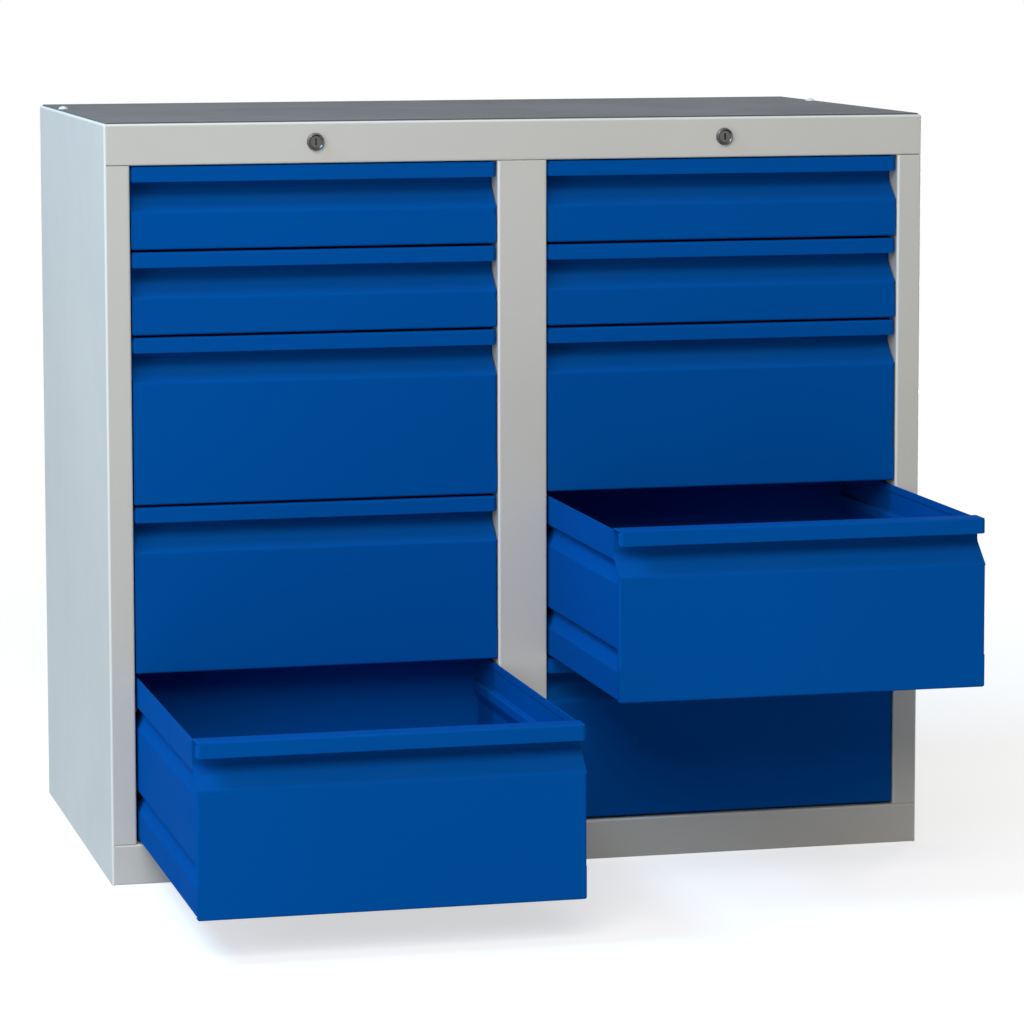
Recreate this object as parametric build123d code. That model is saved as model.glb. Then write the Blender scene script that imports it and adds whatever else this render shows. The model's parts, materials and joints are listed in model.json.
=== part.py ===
"""Steel cabinet with ten drawers in two columns, on roller runners, with a lock for each column.

Millimetres. The origin is on the floor at the middle of the cabinet's footprint,
+X to the right as seen from the front, the drawer fronts face -Y, +Z is up.
"""
from build123d import *
from math import cos, hypot, radians, sin
import os

# Cabinet body
width = 1000.0
depth = 560.0
wall = 1.5
back_wall = 1.0
bend = 3.0
seam = 0.3
stile_width = 30.0
stile_return = 34.0
rear_flange = 20.0
fascia_height = 50.0
plinth_height = 48.5
plinth_seam = 0.2
cover_ledge = 6.0
cover_lap = 16.0
mat_thickness = 1.5
mat_inset = 3.0
plug_radius = 6.3
plug_shank_radius = 2.2
plug_dome = 3.5
plug_inset = 9.5
plug_from_back = 150.0

# Drawer fronts, listed from the top down in units of one drawer module
module = 100.0
drawer_modules = (1, 1, 2, 2, 2)
rows_above_plinth = 1.5
front_gap = 3.0
front_side_gap = 1.5
front_set_back = 2.0
front_sheet = 1.2
front_bend = 2.4
lip_drop = 18.0
lip_corner = 5.0
front_corner = 3.0
grip_depth = 28.0
grip_back_height = 30.0
grip_slope_height = 24.0
grip_bend = 7.0
grip_fold = 3.0
front_side_return = 9.0
front_bottom_return = 14.0
front_notch = 38.0

# Drawer boxes
box_sheet = 1.0
box_below_lip = 3.0
box_bend = 1.5
hem_height = 8.0
groove_top = 35.0
groove_pitch = 100.0
groove_height = 25.0
groove_slope = 15.0
groove_depth = 7.0
groove_bend = 5.0

# Roller runners
roller_radius = 6.5
roller_play = 0.3
roller_edge = 0.8
front_roller_width = 7.0
rear_roller_width = 10.0
axle_radius = 3.0
axle_clearance = 0.05
shoulder_radius = 4.0
axle_head = 1.0
side_play = 0.4
front_roller_set_back = 46.0
rear_roller_inset = 13.0
rollers_apart_when_out = 15.0
rail_bend = 2.0
rail_front_gap = 2.0
rail_end_gap = 2.5

# Drawers that stand open, by column and row, with what is left of their travel
travel_left = {("left", 5): 18.0, ("right", 4): 113.0}

# Locks
lock_body_radius = 9.5
lock_bezel_radius = 10.4
lock_bezel = 2.0
lock_dish = 1.6
lock_projection = 5.0
lock_length = 26.0
lock_plug_radius = 7.0
lock_nut_radius = 13.5
lock_nut = 4.0
key_slot = (2.0, 8.0, 6.0)
fit_clearance = 0.05
rod_radius = 4.0
crank_radius = 8.5
crank_pin_radius = 3.0
crank_thickness = 3.0
crank_pin_end = 1.5
crank_slot_play = 0.45
bar_width = 20.0
bar_thickness = 3.0
bar_behind_tab = 12.0
bar_gap_to_back = 18.0
bar_play = 0.5
hook_sheet = 1.5
tab_reach = 14.0
tab_drop = 12.0
tab_below_top = 10.0
hook_clear = 2.0
guide_height = 12.0
bearing_width = 30.0
bearing_sheet = 3.0
bearing_ahead_of_bar = 15.0
bearing_foot = 15.0
bearing_below_rod = 10.0

# How far a body that only cuts reaches past the face it cuts
past = 1.0

# Places worked out from the sizes above
y_front = -depth / 2
y_back = depth / 2
y_back_inner = y_back - back_wall
height = plinth_height + rows_above_plinth + sum(drawer_modules) * module + fascia_height
metal_top = height - mat_thickness
fascia_bottom = height - fascia_height
column_width = width / 2 - 2 * stile_width
column_x = {"left": -(width / 4), "right": width / 4}
front_half = column_width / 2 - front_side_gap
wall_at = width / 4 - wall
box_half = front_half - front_sheet
groove_wall = box_half - groove_depth
y_drawer_front = y_front + front_set_back
y_bar = y_back_inner - bar_gap_to_back - bar_thickness
y_box_back = y_bar - bar_behind_tab - tab_reach
y_front_roller = y_front + front_roller_set_back
y_rear_roller = y_box_back - rear_roller_inset
travel = y_rear_roller - y_front_roller - rollers_apart_when_out
lock_z = height - fascia_height / 2
crank_lift = 2 * crank_radius * sin(radians(45))

built = {}


def block(x, y, z):
    """A box between two limits along each axis."""
    size = [high - low for low, high in (x, y, z)]
    middle = [(high + low) / 2 for low, high in (x, y, z)]
    return Pos(*middle) * Box(*size)


def along_x(section, low, high):
    """A section drawn in Y and Z, drawn out along X."""
    plane = Plane(origin=(low, 0, 0), x_dir=(0, 1, 0), z_dir=(1, 0, 0))
    return extrude(plane * section, high - low)


def along_y(section, low, high):
    """A section drawn in X and Z, drawn out along Y."""
    plane = Plane(origin=(0, low, 0), x_dir=(1, 0, 0), z_dir=(0, -1, 0))
    return extrude(plane * section, -(high - low))


def along_z(section, low, high):
    """A section drawn in X and Y, drawn out along Z."""
    return extrude(Plane.XY.offset(low) * section, high - low)


def rod_x(radius, low, high, y, z):
    """A round bar along X."""
    return Pos((low + high) / 2, y, z) * Rot(0, 90, 0) * Cylinder(radius, high - low)


def rod_y(radius, low, high, x, z):
    """A round bar along Y."""
    return Pos(x, (low + high) / 2, z) * Rot(90, 0, 0) * Cylinder(radius, high - low)


def folded(points, thickness, radius):
    """The section of a folded sheet, from the corners of its middle line."""
    return trace(FilletPolyline(*points, radius=radius), thickness)


def mirrored(part):
    """The same part on the other side of the plane X = 0."""
    return mirror(part, Plane.YZ)


def keep(node, part, x=0.0, y=0.0):
    """Remember a finished part under its node name, moved to its place."""
    placed = Pos(x, y, 0) * part
    placed.label = node
    built[node] = placed


def rounded_casing(offset, further=0.0):
    """The outer form of the cabinet, drawn in by an offset, with its bends rounded."""
    x = width / 2 - offset
    y = (y_front + offset, y_back_inner + further)
    form = block((-x, x), y, (-further, metal_top - offset))
    edges = form.edges().filter_by(Axis.Z).group_by(Axis.Y)[0]
    edges += form.edges().filter_by(Axis.Y).group_by(Axis.Z)[-1]
    edges += form.edges().filter_by(Axis.X).group_by(Axis.Z)[-1].sort_by(Axis.Y)[0:1]
    return fillet(edges, bend - offset)


def make_side_panel():
    """Left side: web, front stile with its return, rear flange, and a ledge for the cover."""
    edge = -width / 2
    y_flange = y_back_inner - wall / 2
    y_stile = y_front + wall / 2
    line = [
        (edge + rear_flange, y_flange),
        (edge + wall / 2, y_flange),
        (edge + wall / 2, y_stile),
        (edge + stile_width - wall / 2, y_stile),
        (edge + stile_width - wall / 2, y_front + stile_return),
    ]
    bend_top = metal_top - bend
    panel = along_z(folded(line, wall, bend - wall / 2), 0, bend_top)
    behind_stile = (y_front - past, y_front + stile_return + past)
    past_bend = (edge + bend, edge + 2 * stile_width)
    panel -= block(past_bend, behind_stile, (fascia_bottom - seam, height))
    panel -= block(past_bend, behind_stile, (-past, plinth_height + plinth_seam))
    top_bend = rounded_casing(0) - rounded_casing(wall, past)
    top_bend &= block((edge, edge + cover_ledge), (y_front, y_back_inner), (bend_top, metal_top))
    top_bend -= block((edge + bend, 0), (y_front - past, y_front + bend), (0, height))
    lap_z = metal_top - 2 * wall
    lap_x = (edge + cover_ledge - wall, edge + cover_ledge + cover_lap)
    lap = block(lap_x, (y_front + stile_return, y_back_inner - wall - bend), (lap_z, lap_z + wall))
    return panel + top_bend + lap


def make_top_cover():
    """Top plate and front fascia in one folded sheet, with a turned-down rear edge and lock holes."""
    half = width / 2 - bend
    rear_y = y_back_inner - 3 * wall / 2
    line = [
        (rear_y, metal_top - rear_flange),
        (rear_y, metal_top - wall / 2),
        (y_front + wall / 2, metal_top - wall / 2),
        (y_front + wall / 2, fascia_bottom + wall / 2),
        (y_front + stile_return, fascia_bottom + wall / 2),
    ]
    cover = along_x(folded(line, wall, bend - wall / 2), -half, half)
    side_cut = block((half + bend - cover_ledge, width), (y_front + bend, y_back), (0, height))
    rear_cut = block((half - rear_flange, width), (rear_y - bend, y_back), (0, metal_top - bend))
    cover -= side_cut + mirrored(side_cut)
    cover -= rear_cut + mirrored(rear_cut)
    for x in column_x.values():
        cover -= rod_y(lock_body_radius + fit_clearance, y_front - past, y_front + wall + past, x, lock_z)
    for x in plug_places():
        cover -= Pos(x, y_back - plug_from_back, metal_top) * Cylinder(plug_shank_radius, 4 * wall)
    return cover


def plug_places():
    """Distances from the middle at which the two cover plugs stand."""
    inset = width / 2 - plug_inset
    return (-inset, inset)


def make_top_mat():
    """Thin mat glued on the top plate, with holes for the plugs."""
    x = width / 2 - mat_inset
    mat = block((-x, x), (y_front + mat_inset, y_back_inner), (metal_top, height))
    edges = mat.edges().filter_by(Axis.Z)
    mat = fillet(edges, mat_inset)
    for place in plug_places():
        mat -= Pos(place, y_back - plug_from_back, metal_top) * Cylinder(plug_shank_radius, 4 * wall)
    return mat


def make_cover_plugs():
    """Two domed plugs pressed into the cover."""
    dome_radius = (plug_radius**2 + plug_dome**2) / (2 * plug_dome)
    dome = Pos(0, 0, plug_dome - dome_radius) * Sphere(dome_radius)
    dome &= Pos(0, 0, plug_dome / 2) * Cylinder(plug_radius, plug_dome)
    shank_length = mat_thickness + wall
    shank = Pos(0, 0, -shank_length / 2) * Cylinder(plug_shank_radius, shank_length)
    plug = dome + shank
    return Compound([Pos(x, y_back - plug_from_back, height) * plug for x in plug_places()])


def make_base_plinth():
    """Bottom plate with the plinth folded up in front, its return, and a rear edge folded up."""
    half = width / 2 - wall
    rear_y = y_back_inner - 3 * wall / 2
    line = [
        (y_front + stile_return, plinth_height - wall / 2),
        (y_front + wall / 2, plinth_height - wall / 2),
        (y_front + wall / 2, wall / 2),
        (rear_y, wall / 2),
        (rear_y, plinth_height - wall / 2),
    ]
    base = along_x(folded(line, wall, bend - wall / 2), -half, half)
    cut_top = plinth_height + past
    front_cut = block((width / 2 - bend, width), (y_front - past, y_front + bend), (-past, cut_top))
    rear_cut = block((half - rear_flange, width), (rear_y - bend, y_back), (bend, cut_top))
    return base - front_cut - mirrored(front_cut) - rear_cut - mirrored(rear_cut)


def make_centre_post():
    """Stile between the two columns."""
    x = stile_width - wall / 2
    y_face = y_front + wall / 2
    y_end = y_front + stile_return
    line = [(-x, y_end), (-x, y_face), (x, y_face), (x, y_end)]
    section = folded(line, wall, bend - wall / 2)
    return along_z(section, plinth_height, fascia_bottom - seam)


def make_centre_partition():
    """Double wall between the columns, with flanges on the post, the back and the cover."""
    y_low = y_front + wall
    top = metal_top - wall
    rise = (wall, top)
    web = block((-wall, wall), (y_low, y_back_inner), rise)
    front_half_width = stile_width - 3 * wall
    front = block((-front_half_width, front_half_width), (y_low, y_low + wall), rise)
    flange = (-rear_flange, rear_flange)
    rear = block(flange, (y_back_inner - wall, y_back_inner), rise)
    y_inside = (y_low + stile_return, y_back_inner - wall - bend)
    cap = block(flange, y_inside, (top - wall, top))
    foot = block(flange, y_inside, (wall, 2 * wall))
    across = (-width / 2, width / 2)
    behind_front = (y_front, y_low + stile_return)
    behind_fascia = block(across, behind_front, (fascia_bottom - seam, height))
    behind_plinth = block(across, behind_front, (0, plinth_height))
    before_back = (y_back_inner - wall - bend, y_back)
    behind_cover = block(across, before_back, (metal_top - rear_flange, height))
    behind_base = block(across, before_back, (0, plinth_height))
    partition = web + front + rear + cap + foot
    return partition - behind_fascia - behind_plinth - behind_cover - behind_base


def make_back_panel():
    """Flat sheet that closes the back."""
    x = width / 2
    return block((-x, x), (y_back_inner, y_back), (0, metal_top - bend))


def drawer_rows():
    """Each row's number, bottom and top, from the top down."""
    rows = []
    top = fascia_bottom
    for row, modules in enumerate(drawer_modules, start=1):
        bottom = top - modules * module
        rows.append((row, bottom + front_gap / 2, top - front_gap / 2))
        top = bottom
    return rows


def rounded_outline(bottom, top):
    """A block over the depth of a drawer front, with its four corners seen from the front rounded."""
    y = (y_drawer_front, y_drawer_front + grip_depth + front_sheet)
    form = block((-front_half, front_half), y, (bottom, top))
    return fillet(form.edges().filter_by(Axis.Y), front_corner)


def make_front(bottom, top):
    """Folded drawer front: grip lip, undercut for the fingers, sloped and flat face."""
    half = front_sheet / 2
    face = y_drawer_front + half
    recess = y_drawer_front + grip_depth + half
    slope_top = top - grip_back_height
    slope_bottom = slope_top - grip_slope_height
    line = [
        (face, top - lip_drop),
        (face, top - half),
        (recess, top - half),
        (recess, slope_top),
        (face, slope_bottom),
        (face, bottom + half),
        (face + front_bottom_return, bottom + half),
    ]
    centre_bend = front_bend - half
    bends = (centre_bend, centre_bend, grip_bend, grip_fold, centre_bend)
    front = along_x(folded(line, front_sheet, bends), -front_half, front_half)

    lip_low = top - lip_drop
    grip_y = y_drawer_front + grip_depth
    lip_plan = block((-front_half, front_half), (y_drawer_front, grip_y + front_sheet), (lip_low, top))
    corners = lip_plan.edges().filter_by(Axis.Z).group_by(Axis.Y)[0]
    around = (-front_half - past, front_half + past)
    lip_space = block(around, (y_drawer_front - past, grip_y), (lip_low - past, top + past))
    front -= lip_space - fillet(corners, lip_corner)
    edge = front_half - half
    lip_line = [(-edge, face + lip_corner), (-edge, face), (edge, face), (edge, face + lip_corner)]
    front += along_z(folded(lip_line, front_sheet, lip_corner - half), lip_low, top - front_bend)

    return_top = slope_bottom - front_sheet
    return_bottom = min(bottom + front_notch, return_top - front_side_return)
    zone = (return_bottom, return_top)
    cut = block((front_half - front_bend, width), (y_drawer_front - past, recess), zone)
    front -= cut + mirrored(cut)
    side_y = y_drawer_front + front_side_return
    side_line = [(-edge, side_y), (-edge, face), (edge, face), (edge, side_y)]
    front += along_z(folded(side_line, front_sheet, centre_bend), *zone)
    front -= lip_space - rounded_outline(lip_low, top)
    return front & rounded_outline(bottom, top)


def side_section(floor_z, top_z, groove_tops):
    """Corners of the middle line of the right side wall, from the floor up."""
    outer = box_half - box_sheet / 2
    inner = outer - groove_depth
    points = [(outer, floor_z)]
    for groove in sorted(groove_tops):
        points.append((outer, groove - groove_height))
        points.append((inner, groove - groove_height + groove_slope))
        points.append((inner, groove + box_sheet / 2))
        points.append((outer, groove + box_sheet / 2))
    points.append((outer, top_z))
    return points


def roller_axis_z(top):
    """Height of the roller axes of the drawer whose front ends at this height."""
    return top - box_below_lip - groove_top - roller_play - roller_radius


def make_box(bottom, top, modules, front):
    """Folded drawer box with grooves in its sides, stub axles for the rear rollers and a lock tab."""
    floor_z = bottom + front_sheet + box_sheet / 2
    side_top = top - box_below_lip
    grooves = [side_top - groove_top - groove_pitch * step for step in range(modules)]
    right = side_section(floor_z, side_top, grooves)
    left = [(-x, z) for x, z in reversed(right)]
    points = left + right
    up_the_side = [groove_bend, groove_bend, box_bend, box_bend] * modules
    bends = up_the_side[::-1] + [box_bend, box_bend] + up_the_side
    box = along_y(folded(points, box_sheet, bends), y_drawer_front, y_box_back)
    outline = make_face(Polyline(*points, close=True))
    box += along_y(outline, y_box_back - box_sheet, y_box_back)
    hem_x = (box_half - 2 * box_sheet, box_half)
    hem = block(hem_x, (y_drawer_front, y_box_back), (side_top - hem_height, side_top))
    box += hem + mirrored(hem)

    mitre = front_sheet * (hypot(grip_depth, grip_slope_height) - grip_slope_height) / grip_depth
    ahead = y_drawer_front - grip_depth
    recess_y = y_drawer_front + grip_depth + front_sheet
    slope_top = top - grip_back_height - mitre
    envelope = Polyline(
        (ahead, top),
        (recess_y, top),
        (recess_y, slope_top),
        (y_drawer_front + front_sheet, slope_top - grip_slope_height),
        (y_drawer_front + front_sheet, bottom - front_sheet),
        (ahead, bottom - front_sheet),
        close=True,
    )
    box -= along_x(make_face(envelope), -width / 2, width / 2)
    slope_bottom = top - grip_back_height - grip_slope_height
    notch_top = min(bottom + front_notch, slope_bottom - front_side_return)
    notch_z = (bottom + front_sheet + 2 * box_sheet, notch_top)
    notch_y = (ahead, y_drawer_front + front_side_return)
    notch = block((groove_wall - 2 * box_sheet, width / 2), notch_y, notch_z)
    box -= notch + mirrored(notch)
    box -= front

    z = roller_axis_z(top)
    roller_start = column_width / 2 + front_side_gap
    roller_end = roller_start + rear_roller_width
    shoulder_end = roller_start - side_play
    head_start = roller_end + side_play
    stub = rod_x(shoulder_radius, groove_wall - box_sheet / 2, shoulder_end, y_rear_roller, z)
    stub += rod_x(axle_radius, shoulder_end, head_start, y_rear_roller, z)
    stub += rod_x(shoulder_radius, head_start, head_start + axle_head, y_rear_roller, z)
    box += stub + mirrored(stub)

    x = bar_width / 2 - bar_play
    tab_z = side_top - tab_below_top
    tab_end = y_box_back + tab_reach
    tab = block((-x, x), (y_box_back - box_sheet / 2, tab_end), (tab_z, tab_z + hook_sheet))
    tab += block((-x, x), (tab_end - hook_sheet, tab_end), (tab_z - tab_drop, tab_z + hook_sheet))
    return box + tab


def make_rollers(start, roller_width, y, z):
    """A roller on each side of a drawer, both on the same line."""
    roller = Cylinder(roller_radius, roller_width)
    roller = fillet(roller.edges(), roller_edge)
    roller -= Cylinder(axle_radius + axle_clearance, 2 * roller_width)
    right = Pos(start + roller_width / 2, y, z) * Rot(0, 90, 0) * roller
    return Compound([right, mirrored(right)])


def make_rail(z):
    """Channel for the rear roller on the right of a column, with the front roller's axle."""
    inside = roller_radius + roller_play
    arm = inside + wall / 2
    tip = column_width / 2 + front_side_gap
    web = wall_at - wall / 2
    line = [(tip, z - arm), (web, z - arm), (web, z + arm), (tip, z + arm)]
    y_start = y_front + stile_return + rail_front_gap
    y_end = y_rear_roller + roller_radius + rail_end_gap + wall
    rail = along_y(folded(line, wall, rail_bend), y_start, y_end)
    rail += block((tip, web), (y_end - wall, y_end), (z - arm, z + arm))
    roller_in = front_roller_inner()
    roller_out = roller_in + front_roller_width
    rail += rod_x(shoulder_radius, roller_out + side_play, web, y_front_roller, z)
    rail += rod_x(axle_radius, roller_in - side_play, roller_out + side_play, y_front_roller, z)
    head_in = roller_in - side_play - axle_head
    rail += rod_x(shoulder_radius, head_in, head_in + axle_head, y_front_roller, z)
    return rail


def front_roller_inner():
    """Distance from the column's middle to the inner face of a front roller."""
    return groove_wall + 2 * side_play + axle_head + side_play


def make_lock_housing():
    """Lock barrel with its bezel, at the middle of a column."""
    y_face = y_front - lock_projection
    body = rod_y(lock_body_radius, y_face, y_front + lock_length, 0, lock_z)
    body = fillet(body.edges().group_by(Axis.Y)[0], lock_bezel / 2)
    bezel = rod_y(lock_bezel_radius, y_front - lock_bezel, y_front, 0, lock_z)
    bezel = fillet(bezel.edges().group_by(Axis.Y)[0], lock_bezel / 2)
    bore_radius = lock_plug_radius + fit_clearance
    bore = rod_y(bore_radius, y_face - past, y_front + lock_length + past, 0, lock_z)
    mouth_radius = lock_body_radius - lock_bezel / 2
    dish = Cone(bore_radius, mouth_radius, lock_dish)
    mouth = Pos(0, y_face + lock_dish / 2, lock_z) * Rot(90, 0, 0) * dish
    return body + bezel - bore - mouth


def make_lock_nut():
    """Hexagon nut that holds the barrel in the fascia."""
    hexagon = Pos(0, lock_z) * RegularPolygon(lock_nut_radius, 6)
    nut = along_y(hexagon, y_front + wall, y_front + wall + lock_nut)
    return nut - rod_y(lock_body_radius, y_front, y_front + 2 * lock_nut, 0, lock_z)


def crank_pin_place():
    """Where the crank pin stands in X and Z when the column is unlocked."""
    reach = crank_radius * cos(radians(45))
    return -reach, lock_z - reach


def make_lock_plug():
    """Lock plug with its key slot, the rod to the back of the cabinet and the crank there."""
    y_face = y_front - lock_projection + lock_dish
    plug = rod_y(lock_plug_radius, y_face, y_front + lock_length, 0, lock_z)
    slot_width, slot_height, slot_depth = key_slot
    slot_z = (lock_z - slot_height / 2, lock_z + slot_height / 2)
    plug -= block((-slot_width / 2, slot_width / 2), (y_face - past, y_face + slot_depth), slot_z)
    y_crank = y_bar - 2 * crank_thickness
    plug += rod_y(rod_radius, y_front + lock_length, y_crank + crank_thickness, 0, lock_z)
    x, z = crank_pin_place()
    hub = rod_y(rod_radius + crank_thickness, y_crank, y_crank + crank_thickness, 0, lock_z)
    eye = rod_y(crank_pin_radius + crank_thickness / 2, y_crank, y_crank + crank_thickness, x, z)
    pin = rod_y(crank_pin_radius, y_crank, y_bar + bar_thickness + crank_pin_end, x, z)
    return plug + hub + eye + pin


def tab_bottom(top):
    """Lower end of the lock tab of the drawer whose front ends at this height."""
    return top - box_below_lip - tab_below_top - tab_drop


def make_lock_bar():
    """Flat bar behind a column with a hook for each drawer, lifted by the crank."""
    pin_x, pin_z = crank_pin_place()
    y_faces = (y_bar, y_bar + bar_thickness)
    tops = [top for row, bottom, top in drawer_rows()]
    bar_bottom = tab_bottom(tops[-1]) - hook_clear - crank_lift - bar_width
    bar_top = pin_z + crank_radius + crank_pin_radius
    bar = block((-bar_width / 2, bar_width / 2), y_faces, (bar_bottom, bar_top))
    slot_half = crank_pin_radius + crank_slot_play
    slot_x = (-crank_radius - slot_half, pin_x + slot_half)
    head_x = (slot_x[0] - crank_pin_radius, bar_width / 2)
    bar += block(head_x, y_faces, (pin_z - crank_radius - crank_pin_radius, bar_top))
    through = (y_bar - past, y_bar + bar_thickness + past)
    bar -= block(slot_x, through, (pin_z - slot_half, pin_z + slot_half))
    half = bar_width / 2 - bar_play
    for top in tops:
        lip_top = tab_bottom(top) - hook_clear
        plate_z = lip_top - crank_lift
        lip_y = y_box_back + (tab_reach - 2 * hook_sheet) / 2
        plate = block((-half, half), (lip_y, y_bar), (plate_z, plate_z + hook_sheet))
        lip = block((-half, half), (lip_y, lip_y + hook_sheet), (plate_z, lip_top))
        bar += plate + lip
    return bar


def make_bar_guide(z):
    """Loop of sheet on the back panel that keeps the lock bar upright."""
    inner = bar_width / 2 + bar_play
    outer = inner + wall
    z_range = (z - guide_height / 2, z + guide_height / 2)
    y_near = y_bar - bar_play
    y_far = y_bar + bar_thickness + bar_play
    loop = block((-outer, outer), (y_near - wall, y_back_inner), z_range)
    loop -= block((-inner, inner), (y_near, y_far), z_range)
    loop -= block((-inner, inner), (y_far + wall, y_back_inner - wall), z_range)
    flange_half = outer + bar_width / 2
    return loop + block((-flange_half, flange_half), (y_back_inner - wall, y_back_inner), z_range)


def make_rod_bearing():
    """Hanger under the cover that carries the rear end of the lock rod."""
    under = metal_top - wall
    y_plate = y_bar - bearing_ahead_of_bar
    y_end = y_plate + bearing_sheet
    x = (-bearing_width / 2, bearing_width / 2)
    hanger = block(x, (y_plate, y_end), (lock_z - bearing_below_rod, under))
    hanger += block(x, (y_plate - bearing_foot, y_plate), (under - wall, under))
    return hanger - rod_y(rod_radius + fit_clearance, y_plate - past, y_end + past, 0, lock_z)


def build_cabinet():
    """The fixed body."""
    side = make_side_panel()
    keep("side_panel_left", side)
    keep("side_panel_right", mirrored(side))
    keep("back_panel", make_back_panel())
    keep("top_cover", make_top_cover())
    keep("top_mat", make_top_mat())
    keep("cover_plugs", make_cover_plugs())
    keep("base_plinth", make_base_plinth())
    keep("centre_post", make_centre_post())
    keep("centre_partition", make_centre_partition())


def build_runners():
    """Rails of both columns: on the cabinet's side, and on the partition."""
    rails = [make_rail(roller_axis_z(top)) for row, bottom, top in drawer_rows()]
    right_hand = Compound(rails)
    left_hand = mirrored(right_hand)
    keep("runner_rails_left_outer", left_hand, column_x["left"])
    keep("runner_rails_left_inner", right_hand, column_x["left"])
    keep("runner_rails_right_inner", left_hand, column_x["right"])
    keep("runner_rails_right_outer", right_hand, column_x["right"])


def build_locks():
    """Lock, rod, bar and guides of each column."""
    housing = make_lock_housing()
    nut = make_lock_nut()
    plug = make_lock_plug()
    bar = make_lock_bar()
    every_second_row = drawer_rows()[1::2]
    guides = [make_bar_guide(bottom + guide_height) for row, bottom, top in every_second_row]
    guides.append(make_rod_bearing())
    places = list(column_x.values())
    keep("lock_housings", Compound([Pos(x, 0, 0) * housing for x in places]))
    keep("lock_nuts", Compound([Pos(x, 0, 0) * nut for x in places]))
    keep("lock_guides", Compound([Pos(x, 0, 0) * guide for x in places for guide in guides]))
    for column, x in column_x.items():
        keep(f"lock_plug_{column}", plug, x)
        keep(f"lock_bar_{column}", bar, x)


def build_drawers():
    """Fronts, boxes and rollers of all drawers."""
    for row, bottom, top in drawer_rows():
        modules = drawer_modules[row - 1]
        z = roller_axis_z(top)
        front = make_front(bottom, top)
        box = make_box(bottom, top, modules, front)
        rollers = make_rollers(front_roller_inner(), front_roller_width, y_front_roller, z)
        rear_start = column_width / 2 + front_side_gap
        rear_rollers = make_rollers(rear_start, rear_roller_width, y_rear_roller, z)
        for column, x in column_x.items():
            out = travel - travel_left.get((column, row), travel)
            keep(f"drawer_front_{column}_{row}", front, x, -out)
            keep(f"drawer_box_{column}_{row}", box, x, -out)
            keep(f"front_rollers_{column}_{row}", rollers, x)
            keep(f"rear_rollers_{column}_{row}", rear_rollers, x, -out)


build_cabinet()
build_runners()
build_locks()
build_drawers()

os.makedirs("parts", exist_ok=True)
for node, part in built.items():
    export_step(part, f"parts/{node}.step")
print(len(built), "nodes, travel", travel, "crank lift", round(crank_lift, 3))
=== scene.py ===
"""Studio picture of a steel cabinet with two columns of drawers.

Metres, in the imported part's frame.
"""
import json
from math import pi

import bpy
from mathutils import Euler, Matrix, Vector

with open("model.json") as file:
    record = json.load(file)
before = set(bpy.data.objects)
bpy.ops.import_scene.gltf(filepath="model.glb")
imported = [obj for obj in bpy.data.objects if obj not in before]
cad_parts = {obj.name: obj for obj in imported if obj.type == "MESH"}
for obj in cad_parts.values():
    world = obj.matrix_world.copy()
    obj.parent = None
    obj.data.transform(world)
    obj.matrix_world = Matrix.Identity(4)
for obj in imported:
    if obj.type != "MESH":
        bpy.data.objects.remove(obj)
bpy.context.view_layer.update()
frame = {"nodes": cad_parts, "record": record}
nodes = frame["nodes"]

# Paint and metal colours, as linear light
GREY_PAINT = (0.55, 0.54, 0.497)
BLUE_PAINT = (0.0003, 0.0748, 0.321)
MAT_GREY = (0.09, 0.091, 0.092)
ZINC = (0.56, 0.58, 0.6)
NICKEL = (0.125, 0.122, 0.118)
WHITE_NYLON = (0.74, 0.74, 0.7)
DUST_ON_PAINT = (0.5, 0.49, 0.47)
DUST_ON_MAT = (0.42, 0.42, 0.41)
ZINC_BLOOM = (0.36, 0.36, 0.35)
NYLON_GRIME = (0.5, 0.49, 0.45)


# Height of the waves in the powder coat
PEEL_DEPTH = 0.00003


# Shader node groups

def new_group(name, inputs, outputs):
    """An empty group with the named number inputs and the named outputs."""
    tree = bpy.data.node_groups.new(name, "ShaderNodeTree")
    for label, value in inputs.items():
        socket = tree.interface.new_socket(label, in_out="INPUT", socket_type="NodeSocketFloat")
        socket.default_value = value
    for label, kind in outputs.items():
        tree.interface.new_socket(label, in_out="OUTPUT", socket_type=kind)
    start = tree.nodes.new("NodeGroupInput")
    end = tree.nodes.new("NodeGroupOutput")
    return tree, start, end


def join(tree, source, target):
    """Link an output to an input."""
    tree.links.new(source, target)


def math_node(tree, operation, first, second=None):
    """A math node fed by sockets or numbers, and its result."""
    node = tree.nodes.new("ShaderNodeMath")
    node.operation = operation
    for place, value in enumerate((first, second)):
        if value is None:
            continue
        if isinstance(value, (int, float)):
            node.inputs[place].default_value = value
        else:
            join(tree, value, node.inputs[place])
    return node.outputs[0]


def spread(tree, value, low, high, to_low=0.0, to_high=1.0):
    """A value stretched from one range to another, and kept within it."""
    node = tree.nodes.new("ShaderNodeMapRange")
    join(tree, value, node.inputs["Value"])
    ends = {"From Min": low, "From Max": high, "To Min": to_low, "To Max": to_high}
    for label, number in ends.items():
        node.inputs[label].default_value = number
    return node.outputs["Result"]


def noise(tree, place, scale, detail=2.0, rough=0.5):
    """Noise at a number of grains per metre."""
    node = tree.nodes.new("ShaderNodeTexNoise")
    join(tree, place, node.inputs["Vector"])
    if isinstance(scale, (int, float)):
        node.inputs["Scale"].default_value = scale
    else:
        join(tree, scale, node.inputs["Scale"])
    node.inputs["Detail"].default_value = detail
    node.inputs["Roughness"].default_value = rough
    return node.outputs["Fac"]


def place_on_part(tree):
    """The place on the piece, in metres."""
    return tree.nodes.new("ShaderNodeTexCoord").outputs["Object"]


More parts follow.
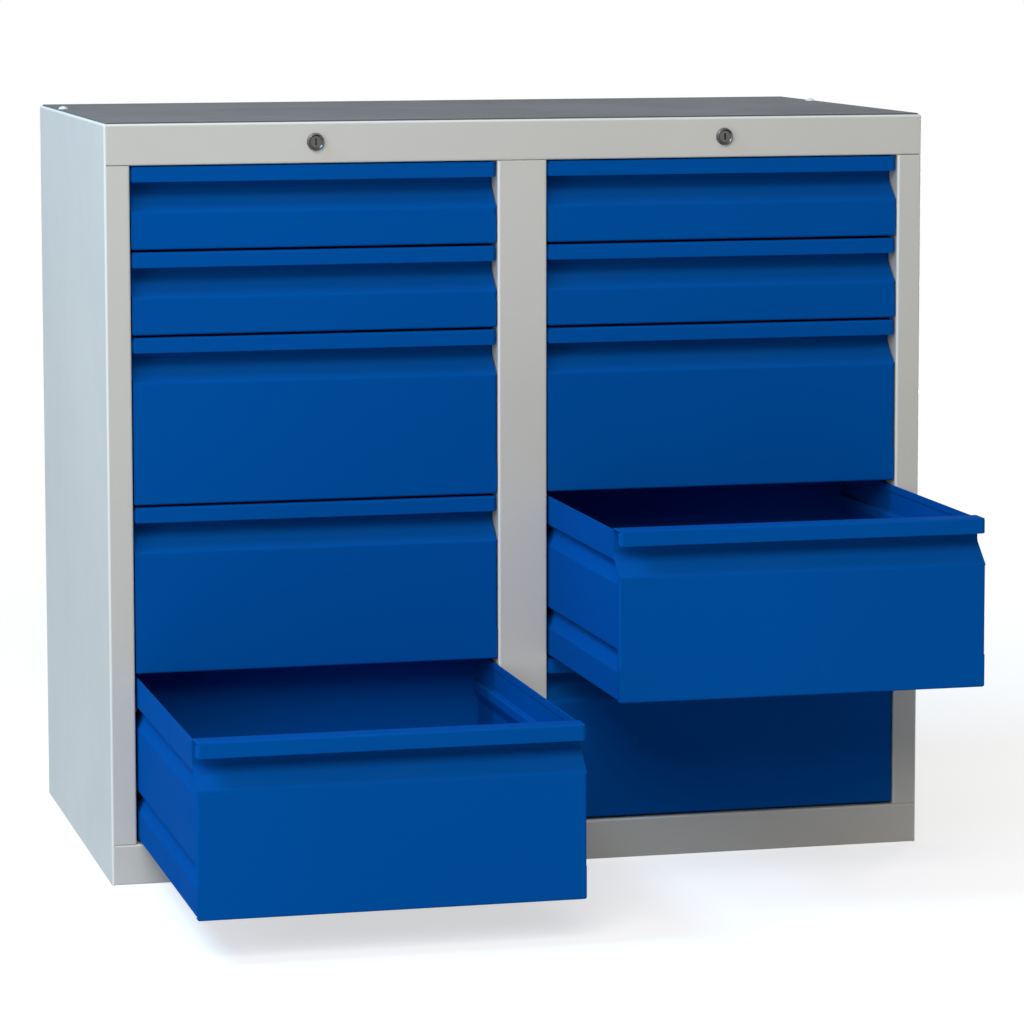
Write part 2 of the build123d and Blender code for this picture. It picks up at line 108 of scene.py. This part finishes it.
def make_orange_peel():
    """The fine waves and pits of a baked powder coat."""
    tree, start, end = new_group("orange_peel", {"Grains": 700.0}, {"Height": "NodeSocketFloat"})
    place = place_on_part(tree)
    waves = noise(tree, place, start.outputs["Grains"], 1.0)
    fine = noise(tree, place, math_node(tree, "MULTIPLY", start.outputs["Grains"], 3.3), 1.0)
    height = math_node(tree, "ADD", waves, math_node(tree, "MULTIPLY", fine, 0.35))
    join(tree, height, end.inputs["Height"])
    return tree


def make_handling():
    """Faint smudges, a cloudy tone, and fine hair scratches from use."""
    outputs = {"Smudge": "NodeSocketFloat", "Tone": "NodeSocketFloat", "Scratch": "NodeSocketFloat"}
    tree, start, end = new_group("handling_marks", {"Smudge Size": 9.0}, outputs)
    place = place_on_part(tree)
    smudge = spread(tree, noise(tree, place, start.outputs["Smudge Size"], 4.0, 0.62), 0.42, 0.72)
    tone = spread(tree, noise(tree, place, 2.3, 2.0), 0.3, 0.7)
    stretched = tree.nodes.new("ShaderNodeMapping")
    stretched.inputs["Rotation"].default_value = (0.5, 0.9, 0.35)
    stretched.inputs["Scale"].default_value = (14.0, 260.0, 200.0)
    join(tree, place, stretched.inputs["Vector"])
    lines = noise(tree, stretched.outputs["Vector"], 1.0, 2.0, 0.4)
    fields = spread(tree, noise(tree, place, 6.0, 1.0), 0.5, 0.68)
    scratch = math_node(tree, "MULTIPLY", spread(tree, lines, 0.73, 0.77), fields)
    join(tree, smudge, end.inputs["Smudge"])
    join(tree, tone, end.inputs["Tone"])
    join(tree, scratch, end.inputs["Scratch"])
    return tree


def make_edge_easing_and_highlights():
    """Masks for painted highlights on sharp edges and on the round of bends, and an eased normal.
    """
    outputs = {"Edge": "NodeSocketFloat", "Bend": "NodeSocketFloat", "Normal": "NodeSocketVector"}
    tree, start, end = new_group("edge_easing_and_highlights", {"Reach": 0.0006}, outputs)
    bevel = tree.nodes.new("ShaderNodeBevel")
    bevel.samples = 6
    join(tree, start.outputs["Reach"], bevel.inputs["Radius"])
    geometry = tree.nodes.new("ShaderNodeNewGeometry")
    turn = tree.nodes.new("ShaderNodeVectorMath")
    turn.operation = "DOT_PRODUCT"
    join(tree, bevel.outputs["Normal"], turn.inputs[0])
    join(tree, geometry.outputs["Normal"], turn.inputs[1])
    # Edge mask: where a painted highlight goes on sharp edges, broken up by a grain.
    off = math_node(tree, "SUBTRACT", 1.0, turn.outputs["Value"])
    grain = spread(tree, noise(tree, place_on_part(tree), 160.0, 3.0, 0.6), 0.35, 0.65)
    edge = math_node(tree, "MULTIPLY", spread(tree, off, 0.02, 0.22), grain)
    join(tree, edge, end.inputs["Edge"])
    # Bend mask: where a painted highlight goes on the round of bends and edges.
    split = tree.nodes.new("ShaderNodeSeparateXYZ")
    join(tree, bevel.outputs["Normal"], split.inputs[0])
    x, y, z = split.outputs
    slant = 0.0
    for first, second in ((x, y), (y, z), (z, x)):
        both = math_node(tree, "ABSOLUTE", math_node(tree, "MULTIPLY", first, second))
        slant = math_node(tree, "ADD", slant, both)
    join(tree, spread(tree, slant, 0.08, 0.4), end.inputs["Bend"])
    join(tree, bevel.outputs["Normal"], end.inputs["Normal"])
    return tree


def make_dust():
    """Fine dust that settles on faces that look up."""
    tree, start, end = new_group("settled_dust", {"Amount": 0.15}, {"Dust": "NodeSocketFloat"})
    geometry = tree.nodes.new("ShaderNodeNewGeometry")
    split = tree.nodes.new("ShaderNodeSeparateXYZ")
    join(tree, geometry.outputs["Normal"], split.inputs[0])
    up = spread(tree, split.outputs["Z"], 0.5, 1.0)
    place = place_on_part(tree)
    cloud = spread(tree, noise(tree, place, 12.0, 5.0, 0.65), 0.35, 0.75, 0.25, 1.0)
    specks = spread(tree, noise(tree, place, 900.0, 1.0), 0.62, 0.7)
    film = math_node(tree, "ADD", cloud, math_node(tree, "MULTIPLY", specks, 0.6))
    dust = math_node(tree, "MULTIPLY", up, film)
    join(tree, math_node(tree, "MULTIPLY", dust, start.outputs["Amount"]), end.inputs["Dust"])
    return tree


ORANGE_PEEL = make_orange_peel()
HANDLING = make_handling()
EDGE_EASING_AND_HIGHLIGHTS = make_edge_easing_and_highlights()
DUST = make_dust()


# Materials

def new_material(name, metallic, specular=0.5):
    """A material with a plain Principled shader, and the three things that its nodes need."""
    material = bpy.data.materials.new(name)
    material.use_nodes = True
    tree = material.node_tree
    shader = tree.nodes["Principled BSDF"]
    shader.inputs["Metallic"].default_value = metallic
    shader.inputs["Specular IOR Level"].default_value = specular
    return material, tree, shader


def use(tree, group, **values):
    """Place a group in a material with its own values."""
    node = tree.nodes.new("ShaderNodeGroup")
    node.node_tree = group
    for label, value in values.items():
        node.inputs[label.replace("_", " ")].default_value = value
    return node


def blend_colour(tree, share, first, second):
    """Two colours mixed by a mask."""
    node = tree.nodes.new("ShaderNodeMix")
    node.data_type = "RGBA"
    if isinstance(share, (int, float)):
        node.inputs[0].default_value = share
    else:
        join(tree, share, node.inputs[0])
    for place, colour in ((6, first), (7, second)):
        if isinstance(colour, tuple):
            node.inputs[place].default_value = (*colour, 1.0)
        else:
            join(tree, colour, node.inputs[place])
    return node.outputs[2]


def bump(tree, height, distance, normal=None):
    """A bump of a height in metres."""
    node = tree.nodes.new("ShaderNodeBump")
    node.inputs["Distance"].default_value = distance
    join(tree, height, node.inputs["Height"])
    if normal is not None:
        join(tree, normal, node.inputs["Normal"])
    return node.outputs["Normal"]


def smudged(tree, marks, clean, dull):
    """Roughness that goes from clean to dull where the surface is smudged."""
    return spread(tree, marks.outputs["Smudge"], 0.0, 1.0, clean, dull)


def shaded(colour, factor):
    """A colour made darker or lighter by a factor."""
    return tuple(channel * factor for channel in colour)


def make_paint(name, colour, specular, roughness, dusty, reach, bend):
    """Baked powder coat: orange peel, faint tone and smudges, eased edges, and painted highlights
    on edges and bends.
    """
    material, tree, shader = new_material(name, 0.0, specular)
    marks = use(tree, HANDLING)
    edges = use(tree, EDGE_EASING_AND_HIGHLIGHTS, Reach=reach)
    waves = use(tree, ORANGE_PEEL)
    dust = use(tree, DUST, Amount=dusty)
    base = blend_colour(tree, marks.outputs["Tone"], shaded(colour, 0.97), shaded(colour, 1.03))
    # Painted highlight: sharp edges mixed towards a lighter copy of the paint colour.
    edge_highlight = math_node(tree, "MULTIPLY", edges.outputs["Edge"], 0.3)
    base = blend_colour(tree, edge_highlight, base, shaded(colour, 1.35))
    # Painted highlight: the round of bends mixed towards a lighter copy, as a light line on each
    # fold.
    bend_highlight = math_node(tree, "MULTIPLY", edges.outputs["Bend"], bend)
    base = blend_colour(tree, bend_highlight, base, shaded(colour, 1.4))
    base = blend_colour(tree, dust.outputs["Dust"], base, DUST_ON_PAINT)
    join(tree, base, shader.inputs["Base Color"])
    gloss = smudged(tree, marks, roughness, roughness + 0.12)
    scored = math_node(tree, "MULTIPLY", marks.outputs["Scratch"], 0.12)
    join(tree, math_node(tree, "SUBTRACT", gloss, scored), shader.inputs["Roughness"])
    eased = bump(tree, waves.outputs["Height"], PEEL_DEPTH, edges.outputs["Normal"])
    join(tree, eased, shader.inputs["Normal"])
    return material


def make_mat_rubber():
    """Grained dark rubber of the mat on top."""
    material, tree, shader = new_material("top_mat_rubber", 0.0, 0.3)
    place = place_on_part(tree)
    cells = tree.nodes.new("ShaderNodeTexVoronoi")
    cells.inputs["Scale"].default_value = 900.0
    join(tree, place, cells.inputs["Vector"])
    marks = use(tree, HANDLING, Smudge_Size=5.0)
    dust = use(tree, DUST, Amount=0.05)
    base = blend_colour(tree, marks.outputs["Tone"], shaded(MAT_GREY, 0.97), shaded(MAT_GREY, 1.03))
    pits = spread(tree, cells.outputs["Distance"], 0.0, 0.6)
    base = blend_colour(tree, math_node(tree, "MULTIPLY", pits, 0.25), base, shaded(MAT_GREY, 0.6))
    base = blend_colour(tree, dust.outputs["Dust"], base, DUST_ON_MAT)
    join(tree, base, shader.inputs["Base Color"])
    join(tree, smudged(tree, marks, 0.62, 0.74), shader.inputs["Roughness"])
    join(tree, bump(tree, cells.outputs["Distance"], 0.00012), shader.inputs["Normal"])
    return material


def make_zinc():
    """Zinc-plated steel with its cloudy spangle and rolling lines."""
    material, tree, shader = new_material("zinc_plate", 1.0)
    place = place_on_part(tree)
    spangle = tree.nodes.new("ShaderNodeTexVoronoi")
    spangle.inputs["Scale"].default_value = 260.0
    join(tree, place, spangle.inputs["Vector"])
    marks = use(tree, HANDLING, Smudge_Size=22.0)
    edges = use(tree, EDGE_EASING_AND_HIGHLIGHTS, Reach=0.0003)
    grey = tree.nodes.new("ShaderNodeSeparateColor")
    join(tree, spangle.outputs["Color"], grey.inputs[0])
    base = blend_colour(tree, grey.outputs[0], shaded(ZINC, 0.86), shaded(ZINC, 1.1))
    bloom = math_node(tree, "MULTIPLY", marks.outputs["Smudge"], 0.35)
    base = blend_colour(tree, bloom, base, ZINC_BLOOM)
    join(tree, base, shader.inputs["Base Color"])
    flakes = math_node(tree, "MULTIPLY", grey.outputs[1], 0.08)
    gloss = math_node(tree, "ADD", smudged(tree, marks, 0.3, 0.46), flakes)
    join(tree, gloss, shader.inputs["Roughness"])
    scored = bump(tree, marks.outputs["Scratch"], 0.00001, edges.outputs["Normal"])
    join(tree, scored, shader.inputs["Normal"])
    return material


def make_nickel():
    """Dark nickel of the locks, turned on a lathe and a little worn, with a painted highlight on
    its edges.
    """
    material, tree, shader = new_material("lock_nickel", 1.0)
    marks = use(tree, HANDLING, Smudge_Size=120.0)
    edges = use(tree, EDGE_EASING_AND_HIGHLIGHTS, Reach=0.0003)
    # Painted highlight: the nickel mixed towards a lighter copy along its edges.
    bright = math_node(tree, "MULTIPLY", edges.outputs["Edge"], 0.7)
    base = blend_colour(tree, bright, NICKEL, shaded(NICKEL, 2.4))
    dull = math_node(tree, "MULTIPLY", marks.outputs["Smudge"], 0.4)
    base = blend_colour(tree, dull, base, shaded(NICKEL, 0.6))
    join(tree, base, shader.inputs["Base Color"])
    join(tree, smudged(tree, marks, 0.26, 0.4), shader.inputs["Roughness"])
    join(tree, edges.outputs["Normal"], shader.inputs["Normal"])
    return material


def make_nylon():
    """White moulded nylon of the rollers and plugs."""
    material, tree, shader = new_material("white_nylon", 0.0, 0.4)
    shader.inputs["Subsurface Weight"].default_value = 0.08
    shader.inputs["Subsurface Radius"].default_value = (0.002, 0.0018, 0.0015)
    marks = use(tree, HANDLING, Smudge_Size=60.0)
    waves = use(tree, ORANGE_PEEL, Grains=1600.0)
    grime = math_node(tree, "MULTIPLY", marks.outputs["Smudge"], 0.25)
    base = blend_colour(tree, grime, WHITE_NYLON, NYLON_GRIME)
    join(tree, base, shader.inputs["Base Color"])
    join(tree, smudged(tree, marks, 0.4, 0.52), shader.inputs["Roughness"])
    join(tree, bump(tree, waves.outputs["Height"], 0.00001), shader.inputs["Normal"])
    return material


MATERIALS = {
    # bend is the share of the painted highlight on the round of bends.
    "grey_paint": make_paint("grey_powder_coat", GREY_PAINT, specular=0.25, roughness=0.5,
                             dusty=0.06, reach=0.001, bend=0.6),
    "blue_paint": make_paint("blue_powder_coat", BLUE_PAINT, specular=0.001, roughness=0.55,
                             dusty=0.008, reach=0.0006, bend=0.0),
    "top_mat": make_mat_rubber(),
    "zinc_steel": make_zinc(),
    "lock_nickel": make_nickel(),
    "white_plastic": make_nylon(),
}


def dress_nodes():
    """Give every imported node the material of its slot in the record."""
    slots = {part["node"]: part["material_slot"] for part in frame["record"]["subparts"]}
    for name, node in nodes.items():
        mesh = node.data
        mesh.materials.clear()
        mesh.materials.append(MATERIALS[slots[name]])


dress_nodes()


# Floor, backdrop, lamps and camera

# Name, place, the point it is turned to, side, power and colour of each lamp
LAMPS = [
    ("key_lamp", (-2.0, -6.0, 4.6), (0.0, -0.3, 0.45), 4.2, 314.0, (1.0, 0.975, 0.955)),
    ("low_lamp", (-4.0, -3.2, 1.4), (-0.2, -0.3, 0.4), 2.0, 52.0, (1.0, 1.0, 1.0)),
    ("left_lamp", (-2.2, -0.4, 2.9), (-0.4, 0.0, 0.5), 1.4, 80.0, (0.38, 0.67, 1.0)),
    ("rear_lamp", (3.0, 3.4, 0.35), (0.2, 0.2, 0.45), 1.0, 125.0, (1.0, 0.985, 0.97)),
]
WORLD_LIGHT = 0.19
FLOOR_WHITE = 0.6
FLOOR_GLOW = 0.62
FLOOR_HALF = 60.0

# How far out from the middle the floor starts to lose its shadow, and where it is plain white
SHADOW_FADES = 1.0
SHADOW_GONE = 2.4

WHITE = (1.0, 1.0, 1.0, 1.0)


def seen_directly(tree):
    """One where the camera sees a surface straight on, in a reflection or through glass."""
    path = tree.nodes.new("ShaderNodeLightPath")
    seen = math_node(tree, "MAXIMUM", path.outputs["Is Camera Ray"], path.outputs["Is Glossy Ray"])
    return math_node(tree, "MAXIMUM", seen, path.outputs["Is Transmission Ray"])


def make_floor():
    """A wide white floor that keeps the cabinet's shadow, and is plain white farther out."""
    mesh = bpy.data.meshes.new("studio_floor")
    signs = ((-1, -1), (1, -1), (1, 1), (-1, 1))
    corners = [(FLOOR_HALF * x, FLOOR_HALF * y, 0) for x, y in signs]
    mesh.from_pydata(corners, [], [(0, 1, 2, 3)])
    floor = bpy.data.objects.new("studio_floor", mesh)
    bpy.context.scene.collection.objects.link(floor)
    material = bpy.data.materials.new("studio_floor")
    material.use_nodes = True
    tree = material.node_tree
    tree.nodes.clear()
    out = tree.nodes.new("ShaderNodeOutputMaterial")
    matt = tree.nodes.new("ShaderNodeBsdfDiffuse")
    matt.inputs["Color"].default_value = (FLOOR_WHITE, FLOOR_WHITE, FLOOR_WHITE, 1.0)
    glow = tree.nodes.new("ShaderNodeEmission")
    glow.inputs["Strength"].default_value = FLOOR_GLOW
    near = tree.nodes.new("ShaderNodeAddShader")
    join(tree, matt.outputs[0], near.inputs[0])
    join(tree, glow.outputs[0], near.inputs[1])
    far = tree.nodes.new("ShaderNodeEmission")
    for light in (glow, far):
        light.inputs["Color"].default_value = WHITE
    distance = tree.nodes.new("ShaderNodeVectorMath")
    distance.operation = "LENGTH"
    join(tree, place_on_part(tree), distance.inputs[0])
    seen = tree.nodes.new("ShaderNodeMixShader")
    fade = spread(tree, distance.outputs["Value"], SHADOW_FADES, SHADOW_GONE)
    join(tree, fade, seen.inputs[0])
    join(tree, near.outputs[0], seen.inputs[1])
    join(tree, far.outputs[0], seen.inputs[2])
    mix = tree.nodes.new("ShaderNodeMixShader")
    join(tree, seen_directly(tree), mix.inputs[0])
    join(tree, matt.outputs[0], mix.inputs[1])
    join(tree, seen.outputs[0], mix.inputs[2])
    join(tree, mix.outputs[0], out.inputs["Surface"])
    mesh.materials.append(material)


def make_world():
    """Soft light from all round, and a white backdrop."""
    world = bpy.data.worlds.new("studio")
    bpy.context.scene.world = world
    world.use_nodes = True
    tree = world.node_tree
    tree.nodes.clear()
    out = tree.nodes.new("ShaderNodeOutputWorld")
    soft = tree.nodes.new("ShaderNodeBackground")
    soft.inputs["Color"].default_value = WHITE
    soft.inputs["Strength"].default_value = WORLD_LIGHT
    white = tree.nodes.new("ShaderNodeBackground")
    white.inputs["Color"].default_value = WHITE
    mix = tree.nodes.new("ShaderNodeMixShader")
    join(tree, seen_directly(tree), mix.inputs[0])
    join(tree, soft.outputs[0], mix.inputs[1])
    join(tree, white.outputs[0], mix.inputs[2])
    join(tree, mix.outputs[0], out.inputs["Surface"])


def make_panel_lamp(name, place, aim, side, power, colour):
    """A square soft lamp at a place, turned to a point on the cabinet."""
    lamp = bpy.data.lights.new(name, "AREA")
    lamp.shape = "SQUARE"
    lamp.size = side
    lamp.energy = power
    lamp.color = colour
    holder = bpy.data.objects.new(name, lamp)
    holder.location = place
    holder.rotation_euler = (Vector(place) - Vector(aim)).to_track_quat("Z", "Y").to_euler()
    bpy.context.scene.collection.objects.link(holder)


def make_camera():
    """The camera at the photograph's angle."""
    lens = bpy.data.cameras.new("camera")
    lens.lens = 147.28
    lens.sensor_width = 36.0
    lens.shift_y = -0.1201
    lens.clip_end = 200.0
    camera = bpy.data.objects.new("camera", lens)
    camera.location = (-1.2053, -5.1068, 1.1140)
    camera.rotation_euler = Euler((pi / 2 - 0.1076, 0.0014, -0.2423))
    bpy.context.scene.collection.objects.link(camera)
    bpy.context.scene.camera = camera


make_floor()
make_world()
for lamp in LAMPS:
    make_panel_lamp(*lamp)
make_camera()
bpy.context.scene.view_settings.view_transform = "Standard"
